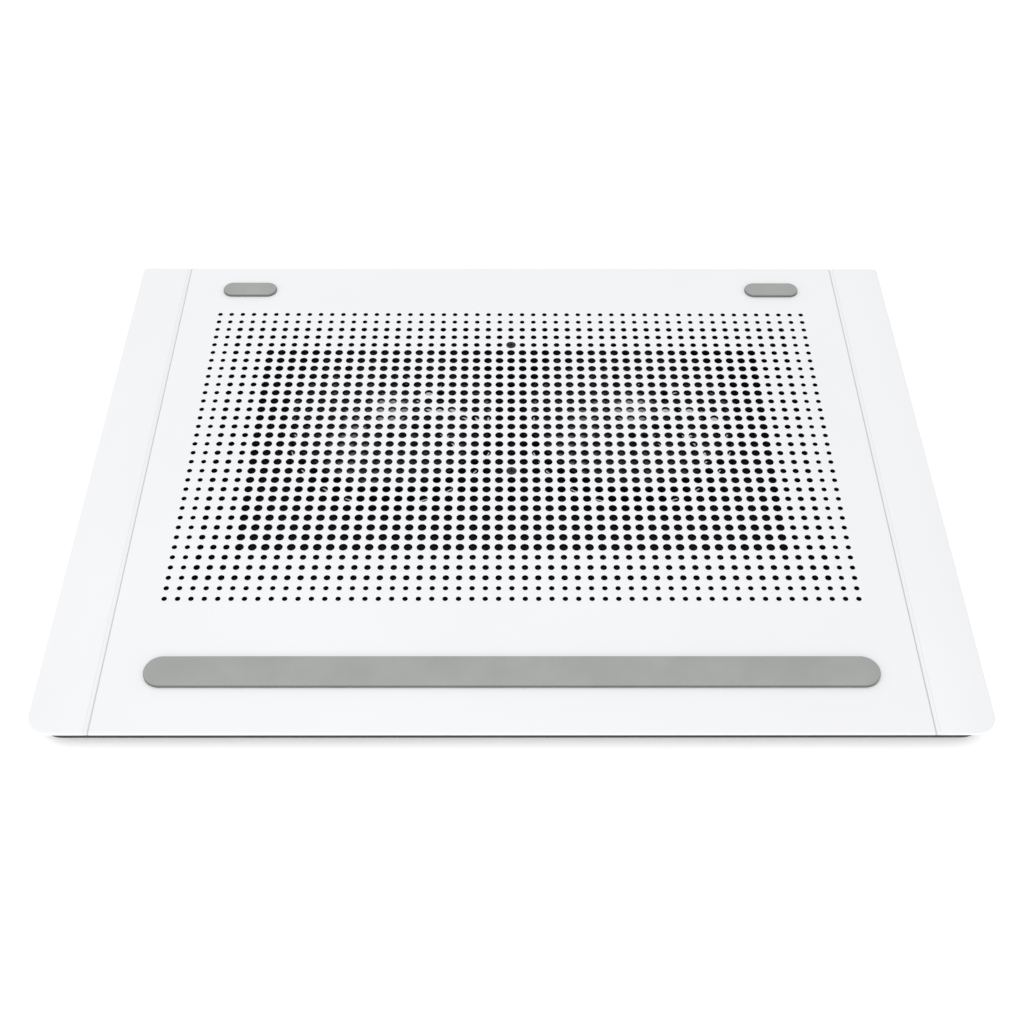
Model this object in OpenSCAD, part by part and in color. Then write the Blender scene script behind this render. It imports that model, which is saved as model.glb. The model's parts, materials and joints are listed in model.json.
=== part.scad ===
// Wedge-shaped laptop cooling pad: a perforated metal top plate on a black plastic shell with two fans.
// Millimetres. X runs to the right, Y to the rear, Z up. The origin is under the middle, on the desk.

/* [Top plate] */
// Width of the top plate
plate_w = 380; // [374:1:384]
// Length of the top plate, measured along its slope
plate_d = 281.5; // [279:0.5:285]
// Thickness of the metal sheet
plate_t = 1.6; // [1.2:0.1:1.6]
// Radius of the two front corners
front_corner_r = 9; // [6:0.5:14]
// Radius of the two rear corners
rear_corner_r = 2.5; // [1:0.5:5]
// Height of the plate's front edge above the desk
front_h = 8.5; // [8.5:0.1:9.5]
// Slope of the plate, in degrees
tilt = 6; // [6:0.1:7]
// Distance of each pressed groove from the middle
groove_x = 166; // [162:0.5:170]
// Width of the pressed grooves
groove_w = 2; // [1:0.1:2.4]
// Depth of the pressed grooves
groove_depth = 0.6; // [0.3:0.1:0.8]

/* [Perforation] */
// Distance between neighbouring holes
hole_pitch = 5.6; // [5.5:0.05:5.7]
// Diameter of the holes in the two outer rows
hole_small = 2.3; // [1.6:0.1:2.4]
// Diameter of the holes in the next three rows
hole_medium = 2.8; // [2.2:0.1:3]
// Diameter of the holes in the middle field
hole_large = 3.8; // [3:0.1:3.9]
// Distance of the field's centre from the front edge
field_y = 155.5; // [154.5:0.5:156.5]

/* [Fans] */
// Distance between the two fan axes
fan_spacing = 114; // [112:1:116]
// Distance of the fan axes behind the field's centre
fan_offset = 25.2; // [24:0.2:26]
// Radius of the blade tips
blade_tip_r = 45.8; // [43:0.1:46]
// Number of blades on each fan
blade_count = 11; // [7:1:13]
// Pitch of the blades from the fan's plane, in degrees
blade_pitch = 38; // [30:1:45]

/* [Rubber parts] */
// Length of the front grip strip
strip_w = 296; // [280:1:300]
// Width of the front grip strip
strip_d = 14.5; // [12:0.5:16]
// Height of the grips above the plate
grip_h = 1.8; // [1:0.1:2]
// Height of the feet below the shell
foot_h = 4; // [4:0.1:4.4]

/* [Controls] */
// Radius of the speed dial
dial_r = 8; // [7.6:0.1:8.2]
// Travel of the power switch
switch_travel = 3; // [2:0.5:3]

/* [Hidden] */
$fn = 48;

// Room that a cutting solid runs past the face it cuts.
past = 1;
// Height of cutting solids that clear the whole pad.
tall = 80;
// Clearance between pieces that slip into each other.
slip = 0.1;

// The plate's own frame starts at the middle of its front edge, with its top face at zero height.
front_y = -(plate_d * cos(tilt) + plate_t * sin(tilt)) / 2;

// The perforated field has an odd number of columns and rows, centred on the plate's middle line.
hole_cols = 53;
hole_rows = 33;
small_rank = 2;
medium_rank = 5;
screw_rows = [13, 28];
screw_col = (hole_cols - 1) / 2;
// Hairline score marks, too fine to see, part the field into panels of this many columns.
panel_cols = 5;
score_w = 0.1;
score_depth = 0.05;

// Places of the grips on the plate.
strip_y = 28.5;
pad_x = 132.7;
pad_y = 263.2;
pad_size = [27, 9.5];

// Screws that hold the plate's middle, with countersunk heads.
csk_head_r = 2.2;
csk_depth = 1.1;
csk_shank_r = 1.2;
csk_length = 9;
csk_cross = [2.6, 0.6];
csk_cross_depth = 0.8;
centre_boss_r = 4;

// Threaded standoffs pressed into the plate, and the screws that reach them from below.
standoff_x = 158;
standoff_y = [40, 150, 232];
standoff_r = 2.6;
standoff_h = 3;
standoff_bore_r = 1.25;
case_head_r = 2.8;
case_head_h = 1.6;
case_seat = 2.2;
case_cross = [3.2, 0.7];
case_gap = 0.3;
case_end_gap = 0.6;
boss_r = 4.8;

// The shell stands in from the plate's edges and is a flat-bottomed tub.
shell_front = 1.5;
shell_side = 4;
shell_d = 274.5;
shell_front_r = 10;
shell_rear_r = 6;
wall = 2;
floor_t = 2.4;
floor_z = foot_h + floor_t;
shell_rear_y = front_y + shell_front + shell_d;

// Feet.
foot_r = 9;
foot_sink = 0.8;
foot_x = 160;
foot_front = 22;
foot_rear = 258;

// Fans hang parallel to the plate; these heights are below the plate's top face.
fan_y = field_y + fan_offset;
fan_top = -3.2;
fan_bottom = -15.2;
fan_inner_r = 47;
fan_outer_r = 49;
duct_inner_r = 49.5;
duct_outer_r = 51.5;
duct_gap = 0.2;
motor_r = 14.5;
motor_base_t = 1.5;
strut_w = 4;
strut_t = 1.8;
strut_count = 4;
ear_r = 4.5;
ear_t = 2.5;
ear_at = 53;
ear_hole_r = 1.7;
ear_boss_r = 3.6;
ear_turn = 45;
fan_screw_r = 1.2;
fan_screw_head_r = 2.6;
fan_screw_head_h = 1.6;
fan_screw_length = 5;
fan_screw_cross = [3, 0.6];
pilot_r = 1.25;
hub_r = 14;
hub_wall = 1.2;
hub_top = -3.7;
hub_bottom = -12.7;
hub_boss_r = 2.4;
hub_boss_bottom = -5.8;
blade_t = 1.1;
blade_top = -4.4;
blade_bottom = -12.6;
blade_slab = 40;
shaft_r = 1;
shaft_top = -4.3;
shaft_bottom = -13.4;
bearing_r = 2.5;
bearing_bore_r = 1.04;
bearing_top = -6.2;
bearing_bottom = -12.7;
tube_r = 3.2;
clip_r = 2;
clip_top = -13;
clip_bottom = -13.3;
circuit_r = 10.4;
circuit_t = 0.8;
core_r = 10.4;
core_top = -7.5;
core_bottom = -11.5;
core_hub_r = 4.8;
arm_w = 3;
shoe_t = 1.2;
shoe_w = 9;
coil_top = -6.4;
coil_bottom = -12.6;
coil_w = 6.2;
coil_from = 5;
coil_to = 8.6;
magnet_inner_r = 11;
magnet_top = -5.4;
magnet_bottom = -12.5;
label_r = 8.4;
label_t = 0.2;

// Intake grilles lie in the shell's floor, where the fan axes cross it.
grille_t = 1.4;
grille_r = 52.3;
grille_rim = 3;
grille_bar = 1.8;
grille_hub_r = 10;
grille_rings = [18, 26, 34, 42];
grille_spokes = 6;
grille_z = foot_h + grille_t / 2;
grille_drop = (grille_z - front_h - fan_y * sin(tilt)) / cos(tilt);
grille_y = front_y + fan_y * cos(tilt) - grille_drop * sin(tilt);

// Exhaust slots in the rear wall, left of the controls.
vent_count = 26;
vent_pitch = 9;
vent_first_x = -172;
vent_w = 3;
vent_z = 12;
vent_h = 12;

// Controls at the rear right: the board stands on short bosses behind the rear wall.
board_x = 143;
board_w = 62;
board_d = 30;
board_t = 1.6;
board_lift = 4;
board_z = floor_z + board_lift;
deck_z = board_z + board_t;
board_gap = 0.5;
board_rear_y = shell_rear_y - wall - board_gap;
board_boss_r = 3;
board_screw_x = 27;
board_screw_y = [5, 15];
board_screw_length = 3;
board_screw_hole_r = 1.6;
board_screw_head = [2.4, 1.4];
// Chips: each place is x, then the distance in front of the board's rear edge.
driver_at = [150, 18];
driver_size = [7, 7];
driver_t = 1.2;
regulator_at = [139, 24];
regulator_size = [5, 4];
regulator_t = 1.6;
small_chips = 4;
small_chip_at = [154, 24];
small_chip_pitch = 3;
small_chip_size = [1.6, 3];
small_chip_t = 0.8;
capacitor_at = [158, 19.5];
capacitor_r = 2.2;
capacitor_h = 6;
panel_w = 66;
panel_h = 13;
panel_z = 16;
panel_t = 1.2;
panel_plug_w = 61.6;
panel_plug_h = 8.6;
panel_plug_t = 1.8;
panel_face_y = shell_rear_y + panel_t;
usb_a = [13.1, 14, 5.7];
usb_a_x = 166;
usb_a_lift = 1;
usb_a_z = deck_z + usb_a_lift + usb_a[2] / 2;
usb_b = [7.7, 9.2, 3.9];
usb_b_x = 150;
usb_b_z = deck_z + usb_b[2] / 2;
usb_skin = 0.3;
usb_gap = 0.2;
usb_back = 2;
usb_a_tongue = [1.8, 1.1];
usb_b_tongue = [0.8, 0];
usb_a_leg = [10.1, 5];
dial_x = 133;
dial_t = 3;
dial_proud = 2;
dial_y = panel_face_y + dial_proud - dial_r;
dial_lift = 3.2;
dial_z = deck_z + dial_lift;
dial_gap = 0.4;
ridge_r = 0.4;
dial_ridges = 30;
sensor_r = 2.6;
sensor_h = 2.8;
spindle_r = 1.5;
spindle_lift = 1;
sensor_floor = 0.8;
switch_x = 118;
switch_size = [9, 5, 4.6];
switch_y = board_rear_y - switch_size[1];
knob_w = 3;
knob_h = 2.4;
knob_proud = 1.8;
knob_gap = 0.3;
knob_depth = 1.8;
knob_pocket = 2;
light_x = 143.5;
light_r = 1;
light_lift = 2.2;
light_z = deck_z + light_lift;
light_length = 9;
light_foot = [3, 2];

// Fan leads run from each fan to the board's plugs. Points are x, y, z.
lead_r = 1.1;
lead_sides = 8;
lead_tail = 3;
// A direction that no stretch of a lead runs along.
lead_side_way = [1, -1, 0.3];
header = [5.6, 6, 5];
header_x = [122, 132];
header_y = board_rear_y - board_d + header[1] / 2;
lead_y = 98;
lead_z = 7.6;
lead_plug_z = 14.6;
lead_exit = 65;
lead_exit_drop = -13;
// A point this far out from a fan's rear wall, in world coordinates.
function lead_leaves(side, out) =
    let (u = fan_y + (fan_outer_r + out) * sin(lead_exit))
    [
        side * fan_spacing / 2 + (fan_outer_r + out) * cos(lead_exit),
        front_y + u * cos(tilt) - lead_exit_drop * sin(tilt),
        front_h + u * sin(tilt) + lead_exit_drop * cos(tilt)
    ];
lead_ends_y = header_y - header[1] / 2;
lead_right = [
    lead_leaves(1, 0), lead_leaves(1, 2.6), lead_leaves(1, 5.4) + [0.4, 0, -1.2], [83.4, 92, 14],
    [88, 92, 9.8], [95, 91.6, 8.2], [104, 91, 8.4], [116, 90, 9.4], [126, 91.5, 12],
    [131.4, 96, lead_plug_z - 0.4], [header_x[1], lead_ends_y - lead_tail, lead_plug_z],
    [header_x[1], lead_ends_y, lead_plug_z]
];
lead_left = [
    lead_leaves(-1, 0), lead_leaves(-1, 2.6), lead_leaves(-1, 5.4) + [0.4, 0, -1.2], [-32, 92.8, 14.4],
    [-29, 94.8, 10.4], [-24, 97, 8.2], [-16, lead_y, lead_z], [96, lead_y, lead_z], [106, 97.4, 8.4],
    [114, 95.6, 10.8], [120.6, 97, lead_plug_z - 0.6],
    [header_x[0], lead_ends_y - lead_tail, lead_plug_z], [header_x[0], lead_ends_y, lead_plug_z]
];
clip_xs = [0, 40, 80];
clip_size = [6, 1.2];
clip_h = 2;

module on_plate() {
    translate([0, front_y, front_h])
        rotate([tilt, 0, 0])
            children();
}

module at_fan(side) {
    on_plate()
        translate([side * fan_spacing / 2, fan_y, 0])
            children();
}

module above_plate(depth) {
    on_plate()
        translate([-plate_w, -plate_d / 2, -depth])
            cube([2 * plate_w, 2 * plate_d, tall]);
}

// Round bar or ring between two heights.
module post(r, low, high) {
    translate([0, 0, low])
        cylinder(r = r, h = high - low);
}

module ring(outer, inner, low, high) {
    difference() {
        post(outer, low, high);
        post(inner, low - past, high + past);
    }
}

// Rectangle with its front edge on the X axis, and its own corner radii at front and rear.
module soft_rectangle(w, d, rf, rr) {
    translate([-w / 2 + rf, 0])
        square([w - 2 * rf, d / 2]);
    translate([-w / 2, rf])
        square([w, d - rf - rr]);
    translate([-w / 2 + rr, d / 2])
        square([w - 2 * rr, d / 2]);
    for (side = [-1, 1]) {
        translate([side * (w / 2 - rf), rf])
            circle(r = rf);
        translate([side * (w / 2 - rr), d - rr])
            circle(r = rr);
    }
}

module stadium(w, d) {
    square([w - d, d], center = true);
    for (side = [-1, 1])
        translate([side * (w - d) / 2, 0])
            circle(d = d);
}

module slab(size, low, high) {
    translate([0, 0, low])
        linear_extrude(high - low)
            square(size, center = true);
}

// ---- Top plate ----

function rank(i, j) = min(i, hole_cols - 1 - i, j, hole_rows - 1 - j);
function hole_size(i, j) =
    rank(i, j) < small_rank ? hole_small : rank(i, j) < medium_rank ? hole_medium : hole_large;
function hole_x(i) = (i - (hole_cols - 1) / 2) * hole_pitch;
function hole_y(j) = field_y + (j - (hole_rows - 1) / 2) * hole_pitch;
function is_screw(i, j) = i == screw_col && len(search(j, screw_rows)) > 0;

module plate_panel(from, to) {
    low = from == 0 ? -plate_w / 2 : hole_x(from) - hole_pitch / 2 + score_w / 2;
    high = to == hole_cols - 1 ? plate_w / 2 : hole_x(to) + hole_pitch / 2 - score_w / 2;
    difference() {
        intersection() {
            soft_rectangle(plate_w, plate_d, front_corner_r, rear_corner_r);
            translate([low, -past])
                square([high - low, plate_d + 2 * past]);
        }
        for (i = [from:to], j = [0:hole_rows - 1])
            if (!is_screw(i, j))
                translate([hole_x(i), hole_y(j)])
                    circle(d = hole_size(i, j));
    }
}

module groove(x) {
    translate([x, plate_d + past, 0])
        rotate([90, 0, 0])
            linear_extrude(plate_d + 2 * past)
                polygon([[-groove_w / 2, 0], [0, -groove_depth], [groove_w / 2, 0], [0, past]]);
}

module countersink() {
    translate([0, 0, -csk_depth])
        cylinder(r1 = csk_shank_r + slip, r2 = csk_head_r + slip, h = csk_depth);
    post(csk_shank_r + slip, -plate_t - past, -csk_depth);
}

module top_plate() color("whitesmoke") {
    on_plate()
        difference() {
            union() {
                for (from = [0:panel_cols:hole_cols - 1]) {
                    to = min(from + panel_cols, hole_cols) - 1;
                    translate([0, 0, -plate_t])
                        linear_extrude(plate_t)
                            plate_panel(from, to);
                    if (from > 0)
                        translate([hole_x(from) - hole_pitch / 2 - score_w, 0, score_depth - plate_t])
                            cube([2 * score_w, plate_d, plate_t - 2 * score_depth]);
                }
            }
            for (side = [-1, 1])
                groove(side * groove_x);
            for (j = screw_rows)
                translate([0, hole_y(j), 0])
                    countersink();
        }
}

module front_grip_strip() color([0.63, 0.64, 0.63]) {
    on_plate()
        translate([0, strip_y, 0])
            linear_extrude(grip_h)
                stadium(strip_w, strip_d);
}

module rear_grip_pads() color([0.67, 0.68, 0.67]) {
    on_plate()
        for (side = [-1, 1])
            translate([side * pad_x, pad_y, 0])
                linear_extrude(grip_h)
                    stadium(pad_size[0], pad_size[1]);
}

module centre_screws() color("black") {
    on_plate()
        for (j = screw_rows)
            translate([0, hole_y(j), 0])
                difference() {
                    union() {
                        translate([0, 0, -csk_depth])
                            cylinder(r1 = csk_shank_r, r2 = csk_head_r, h = csk_depth);
                        post(csk_shank_r, -csk_length, -csk_depth);
                    }
                    for (turn = [0, 90])
                        rotate(turn)
                            slab(csk_cross, -csk_cross_depth, past);
                }
}

module at_standoffs() {
    on_plate()
        for (side = [-1, 1], y = standoff_y)
            translate([side * standoff_x, y, 0])
                children();
}

module plate_standoffs() color("silver") {
    at_standoffs()
        ring(standoff_r, standoff_bore_r, -plate_t - standoff_h, -plate_t);
}

module case_screws() color("black") {
    seat = -plate_t - standoff_h - case_seat;
    at_standoffs()
        difference() {
            union() {
                post(case_head_r, seat - case_head_h, seat);
                post(csk_shank_r, seat, -plate_t - case_end_gap);
            }
            for (turn = [0, 90])
                rotate(turn)
                    slab(case_cross, seat - case_head_h - past, seat - case_head_h / 2);
        }
}

// ---- Shell ----

module shell_block(inset, low) {
    translate([0, front_y + shell_front + inset, low])
        linear_extrude(tall)
            soft_rectangle(
                plate_w - 2 * (shell_side + inset), shell_d - 2 * inset,
                shell_front_r - inset, shell_rear_r - inset
            );
}

module floor_up() {
    translate([-plate_w, -plate_d, foot_h])
        cube([2 * plate_w, 2 * plate_d, tall]);
}

module at_feet(y) {
    for (side = [-1, 1])
        translate([side * foot_x, front_y + y, 0])
            children();
}

module at_ears() {
    for (k = [0:3])
        rotate(ear_turn + 90 * k)
            translate([ear_at, 0, 0])
                children();
}

module at_board_screws() {
    for (side = [-1, 1], y = board_screw_y)
        translate([board_x + side * board_screw_x, board_rear_y - board_d + y, 0])
            children();
}

// Everything solid inside the shell's plate-facing space: bosses and intake ducts.
module shell_inner_posts() {
    intersection() {
        floor_up();
        union() {
            at_standoffs()
                post(boss_r, -tall, -plate_t - standoff_h);
            on_plate()
                for (j = screw_rows)
                    translate([0, hole_y(j), 0])
                        post(centre_boss_r, -tall, -plate_t);
            for (side = [-1, 1])
                at_fan(side) {
                    post(duct_outer_r, -tall, fan_bottom - duct_gap);
                    at_ears()
                        post(ear_boss_r, -tall, fan_bottom);
                }
        }
    }
    at_board_screws()
        post(board_boss_r, foot_h + slip, board_z);
    for (x = clip_xs, side = [-1, 1])
        translate([x, lead_y + side * (lead_r + past), foot_h + slip])
            slab(clip_size, 0, floor_t + clip_h);
}

module bottom_shell() color([0.09, 0.09, 0.1]) {
    difference() {
        union() {
            difference() {
                shell_block(0, foot_h);
                shell_block(wall, floor_z);
                above_plate(plate_t);
            }
            shell_inner_posts();
        }
        for (side = [-1, 1]) {
            at_fan(side) {
                post(duct_inner_r, -tall, fan_bottom + past);
                at_ears()
                    post(pilot_r, fan_bottom - fan_screw_length + ear_t, fan_bottom + past);
            }
            translate([side * fan_spacing / 2, grille_y, 0])
                post(grille_r + slip, foot_h - past, foot_h + grille_t);
        }
        at_standoffs() {
            post(case_head_r + case_gap, -tall, -plate_t - standoff_h - case_seat);
            post(csk_shank_r + case_gap, -tall, past - plate_t);
        }
        on_plate()
            for (j = screw_rows)
                translate([0, hole_y(j), 0])
                    post(pilot_r, -csk_length - past, past - plate_t);
        for (y = [foot_front, foot_rear])
            at_feet(y)
                post(foot_r + slip, foot_h - past, foot_h + foot_sink);
        at_board_screws()
            post(pilot_r, board_z - board_screw_length - 2 * slip, board_z + past);
        for (k = [0:vent_count - 1])
            translate([vent_first_x + k * vent_pitch, shell_rear_y - wall / 2, vent_z])
                slab([vent_w, wall + 2 * past], 0, vent_h);
        translate([board_x, shell_rear_y - wall / 2, panel_z])
            slab(
                [panel_plug_w + 2 * slip, wall + 2 * past],
                -panel_plug_h / 2 - slip, panel_plug_h / 2 + slip
            );
    }
}

module feet(y) {
    at_feet(y)
        post(foot_r, 0, foot_h + foot_sink);
}

module front_feet() color([0.16, 0.16, 0.16]) feet(foot_front);
module rear_feet() color([0.16, 0.16, 0.16]) feet(foot_rear);

module intake_grille(side) color([0.12, 0.12, 0.13]) {
    translate([side * fan_spacing / 2, grille_y, foot_h])
        linear_extrude(grille_t) {
            difference() {
                circle(r = grille_r);
                circle(r = grille_r - grille_rim);
            }
            circle(r = grille_hub_r);
            for (r = grille_rings)
                difference() {
                    circle(r = r);
                    circle(r = r - grille_bar);
                }
            for (k = [0:grille_spokes - 1])
                rotate(360 / grille_spokes * k)
                    translate([grille_hub_r - grille_bar, -grille_bar / 2])
                        square([grille_r - grille_hub_r, grille_bar]);
        }
}

module intake_grille_left() intake_grille(-1);
module intake_grille_right() intake_grille(1);

// ---- Fans ----

module fan_frame(side) color([0.13, 0.13, 0.14]) {
    at_fan(side)
        difference() {
            union() {
                ring(fan_outer_r, fan_inner_r, fan_bottom, fan_top);
                at_ears()
                    post(ear_r, fan_bottom, fan_bottom + ear_t);
                post(motor_r, fan_bottom, fan_bottom + motor_base_t);
                post(tube_r, fan_bottom, bearing_top);
                for (k = [0:strut_count - 1])
                    rotate(360 / strut_count * k)
                        translate([motor_r - past, -strut_w / 2, fan_bottom])
                            cube([fan_inner_r - motor_r + 2 * past, strut_w, strut_t]);
            }
            at_ears()
                post(ear_hole_r, fan_bottom - past, fan_bottom + ear_t + past);
            post(bearing_r, fan_bottom + motor_base_t, bearing_top + past);
        }
}

module fan_bearing(side) color("goldenrod") {
    at_fan(side)
        ring(bearing_r, bearing_bore_r, bearing_bottom, bearing_top);
}

module fan_circuit(side) color("darkgreen") {
    low = fan_bottom + motor_base_t;
    at_fan(side)
        ring(circuit_r, tube_r, low, low + circuit_t);
}

module stator_core(side) color([0.55, 0.56, 0.58]) {
    at_fan(side)
        translate([0, 0, core_bottom])
            linear_extrude(core_top - core_bottom)
                difference() {
                    union() {
                        circle(r = core_hub_r);
                        for (k = [0:3])
                            rotate(90 * k) {
                                translate([0, -arm_w / 2])
                                    square([core_r - shoe_t / 2, arm_w]);
                                intersection() {
                                    difference() {
                                        circle(r = core_r);
                                        circle(r = core_r - shoe_t);
                                    }
                                    translate([0, -shoe_w / 2])
                                        square([core_r + past, shoe_w]);
                                }
                            }
                    }
                    circle(r = tube_r);
                }
}

module stator_coils(side) color([0.72, 0.4, 0.2]) {
    at_fan(side)
        for (k = [0:3])
            rotate(90 * k)
                translate([(coil_from + coil_to) / 2, 0, 0])
                    difference() {
                        slab([coil_to - coil_from, coil_w], coil_bottom, coil_top);
                        slab([coil_to, arm_w], core_bottom, core_top);
                    }
}

module fan_shaft(side) color("silver") {
    at_fan(side)
        post(shaft_r, shaft_bottom, shaft_top);
}

module shaft_clip(side) color("gray") {
    at_fan(side)
        ring(clip_r, shaft_r, clip_bottom, clip_top);
}

module rotor_magnet(side) color([0.25, 0.24, 0.24]) {
    at_fan(side)
        ring(hub_r - hub_wall, magnet_inner_r, magnet_bottom, magnet_top);
}

module blade() {
    translate([(hub_r - hub_wall / 2 + blade_tip_r + past) / 2, 0, (blade_top + blade_bottom) / 2])
        rotate([blade_pitch, 0, 0])
            cube([blade_tip_r + past - hub_r + hub_wall / 2, blade_slab, blade_t], center = true);
}

module impeller(side) color([0.2, 0.2, 0.22]) {
    at_fan(side) {
        difference() {
            union() {
                difference() {
                    post(hub_r, hub_bottom, hub_top);
                    post(hub_r - hub_wall, hub_bottom - past, hub_top - hub_wall);
                }
                post(hub_boss_r, hub_boss_bottom, hub_top - hub_wall / 2);
            }
            post(shaft_r, hub_boss_bottom - past, shaft_top);
        }
        intersection() {
            ring(blade_tip_r, hub_r - hub_wall / 2, blade_bottom, blade_top);
            for (k = [0:blade_count - 1])
                rotate(360 / blade_count * k)
                    blade();
        }
    }
}

module hub_label(side) color("white") {
    at_fan(side)
        post(label_r, hub_top, hub_top + label_t);
}

module fan_screws() color("black") {
    low = fan_bottom + ear_t;
    for (side = [-1, 1])
        at_fan(side)
            at_ears()
                difference() {
                    union() {
                        post(fan_screw_head_r, low, low + fan_screw_head_h);
                        post(fan_screw_r, low - fan_screw_length, low);
                    }
                    for (turn = [0, 90])
                        rotate(turn)
                            slab(
                                fan_screw_cross,
                                low + fan_screw_head_h / 2, low + fan_screw_head_h + past
                            );
                }
}

module fan_bearing_left() fan_bearing(-1);
module fan_bearing_right() fan_bearing(1);
module fan_circuit_left() fan_circuit(-1);
module fan_circuit_right() fan_circuit(1);
module fan_frame_left() fan_frame(-1);
module fan_frame_right() fan_frame(1);
module fan_shaft_left() fan_shaft(-1);
module fan_shaft_right() fan_shaft(1);
module hub_label_left() hub_label(-1);
module hub_label_right() hub_label(1);
module impeller_left() impeller(-1);
module impeller_right() impeller(1);
module rotor_magnet_left() rotor_magnet(-1);
module rotor_magnet_right() rotor_magnet(1);
module shaft_clip_left() shaft_clip(-1);
module shaft_clip_right() shaft_clip(1);
module stator_coils_left() stator_coils(-1);
module stator_coils_right() stator_coils(1);
module stator_core_left() stator_core(-1);
module stator_core_right() stator_core(1);

// ---- Controls ----

module control_board() color([0.05, 0.3, 0.15]) {
    difference() {
        translate([board_x, board_rear_y - board_d / 2, 0])
            slab([board_w, board_d], board_z, deck_z);
        at_board_screws()
            post(board_screw_hole_r, board_z - past, deck_z + past);
    }
}

module board_screws() color("silver") {
    at_board_screws() {
        post(board_screw_head[0], deck_z, deck_z + board_screw_head[1]);
        post(fan_screw_r, board_z - board_screw_length, deck_z);
    }
}

module board_chips() color([0.12, 0.12, 0.12]) {
    translate([driver_at[0], board_rear_y - driver_at[1], 0])
        slab(driver_size, deck_z, deck_z + driver_t);
    translate([regulator_at[0], board_rear_y - regulator_at[1], 0])
        slab(regulator_size, deck_z, deck_z + regulator_t);
    for (k = [0:small_chips - 1])
        translate([small_chip_at[0] + small_chip_pitch * k, board_rear_y - small_chip_at[1], 0])
            slab(small_chip_size, deck_z, deck_z + small_chip_t);
    translate([capacitor_at[0], board_rear_y - capacitor_at[1], 0])
        post(capacitor_r, deck_z, deck_z + capacitor_h);
}

module panel_holes() {
    slot = wall + panel_t + 2 * past;
    y = shell_rear_y - wall / 2;
    translate([usb_a_x, y, usb_a_z])
        slab([usb_a[0] + 2 * usb_gap, slot], -usb_a[2] / 2 - usb_gap, usb_a[2] / 2 + usb_gap);
    translate([usb_b_x, y, usb_b_z])
        slab([usb_b[0] + 2 * usb_gap, slot], -usb_b[2] / 2 - usb_gap, usb_b[2] / 2 + usb_gap);
    translate([dial_x, y, dial_z])
        slab([2 * (dial_r + dial_gap), slot], -dial_gap, dial_t + dial_gap);
    translate([switch_x, y, deck_z + switch_size[2] / 2])
        slab([knob_w + switch_travel + 1, slot], -knob_h / 2 - knob_gap, knob_h / 2 + knob_gap);
    translate([light_x, y + slot / 2, light_z])
        rotate([90, 0, 0])
            cylinder(r = light_r + slip / 2, h = slot);
}

module control_panel() color([0.14, 0.14, 0.15]) {
    difference() {
        union() {
            translate([board_x, shell_rear_y + panel_t / 2, panel_z])
                slab([panel_w, panel_t], -panel_h / 2, panel_h / 2);
            translate([board_x, shell_rear_y - panel_plug_t / 2, panel_z])
                slab([panel_plug_w, panel_plug_t], -panel_plug_h / 2, panel_plug_h / 2);
        }
        panel_holes();
    }
}

// A metal shell open to the rear with a tongue inside.
module socket(size, tongue) {
    translate([0, -size[1] / 2, 0]) {
        difference() {
            slab([size[0], size[1]], -size[2] / 2, size[2] / 2);
            translate([0, usb_back, 0])
                slab([size[0] - 2 * usb_skin, size[1]], -size[2] / 2 + usb_skin, size[2] / 2 - usb_skin);
        }
        translate([0, 0, tongue[1]])
            slab([size[0] - 5 * usb_skin, size[1] - 2 * usb_back], -tongue[0] / 2, tongue[0] / 2);
    }
}

module usb_output_socket() color("silver") {
    translate([usb_a_x, panel_face_y, usb_a_z])
        socket(usb_a, usb_a_tongue);
    translate([usb_a_x, panel_face_y - usb_a[1] + usb_a_leg[1] / 2, 0])
        slab(usb_a_leg, deck_z, usb_a_z - usb_a[2] / 2);
}

module usb_input_socket() color("silver") {
    translate([usb_b_x, panel_face_y, usb_b_z])
        socket(usb_b, usb_b_tongue);
}

module at_dial() {
    translate([dial_x, dial_y, 0])
        children();
}

module dial_sensor() color([0.1, 0.2, 0.4]) {
    at_dial()
        difference() {
            post(sensor_r, deck_z, deck_z + sensor_h);
            post(spindle_r + slip / 2, deck_z + sensor_floor, deck_z + sensor_h + past);
        }
}

module dial_spindle() color("silver") {
    at_dial()
        post(spindle_r, deck_z + spindle_lift, dial_z + dial_t);
}

module speed_dial() color([0.08, 0.08, 0.09]) {
    at_dial()
        translate([0, 0, dial_z])
            linear_extrude(dial_t)
                difference() {
                    circle(r = dial_r);
                    circle(r = spindle_r);
                    for (k = [0:dial_ridges - 1])
                        rotate(360 / dial_ridges * k)
                            translate([dial_r, 0])
                                circle(r = ridge_r, $fn = 6);
                }
}

module switch_body() color([0.75, 0.76, 0.78]) {
    translate([switch_x, switch_y + switch_size[1] / 2, 0])
        difference() {
            slab([switch_size[0], switch_size[1]], deck_z, deck_z + switch_size[2]);
            translate([0, switch_size[1] / 2, deck_z + switch_size[2] / 2])
                slab(
                    [knob_w + switch_travel + 2 * knob_gap, 2 * knob_pocket],
                    -knob_h / 2 - slip, knob_h / 2 + slip
                );
        }
}

module power_switch() color([0.08, 0.08, 0.09]) {
    low = switch_y + switch_size[1] - knob_depth;
    high = panel_face_y + knob_proud;
    translate([switch_x - switch_travel / 2, (low + high) / 2, deck_z + switch_size[2] / 2])
        slab([knob_w, high - low], -knob_h / 2, knob_h / 2);
}

module power_light() color("lightblue") {
    translate([light_x, panel_face_y, light_z])
        rotate([90, 0, 0])
            cylinder(r = light_r, h = light_length);
    translate([light_x, panel_face_y - light_length - light_foot[1] / 2, 0])
        slab(light_foot, deck_z, light_z + light_r);
}

// ---- Fan leads ----

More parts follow.
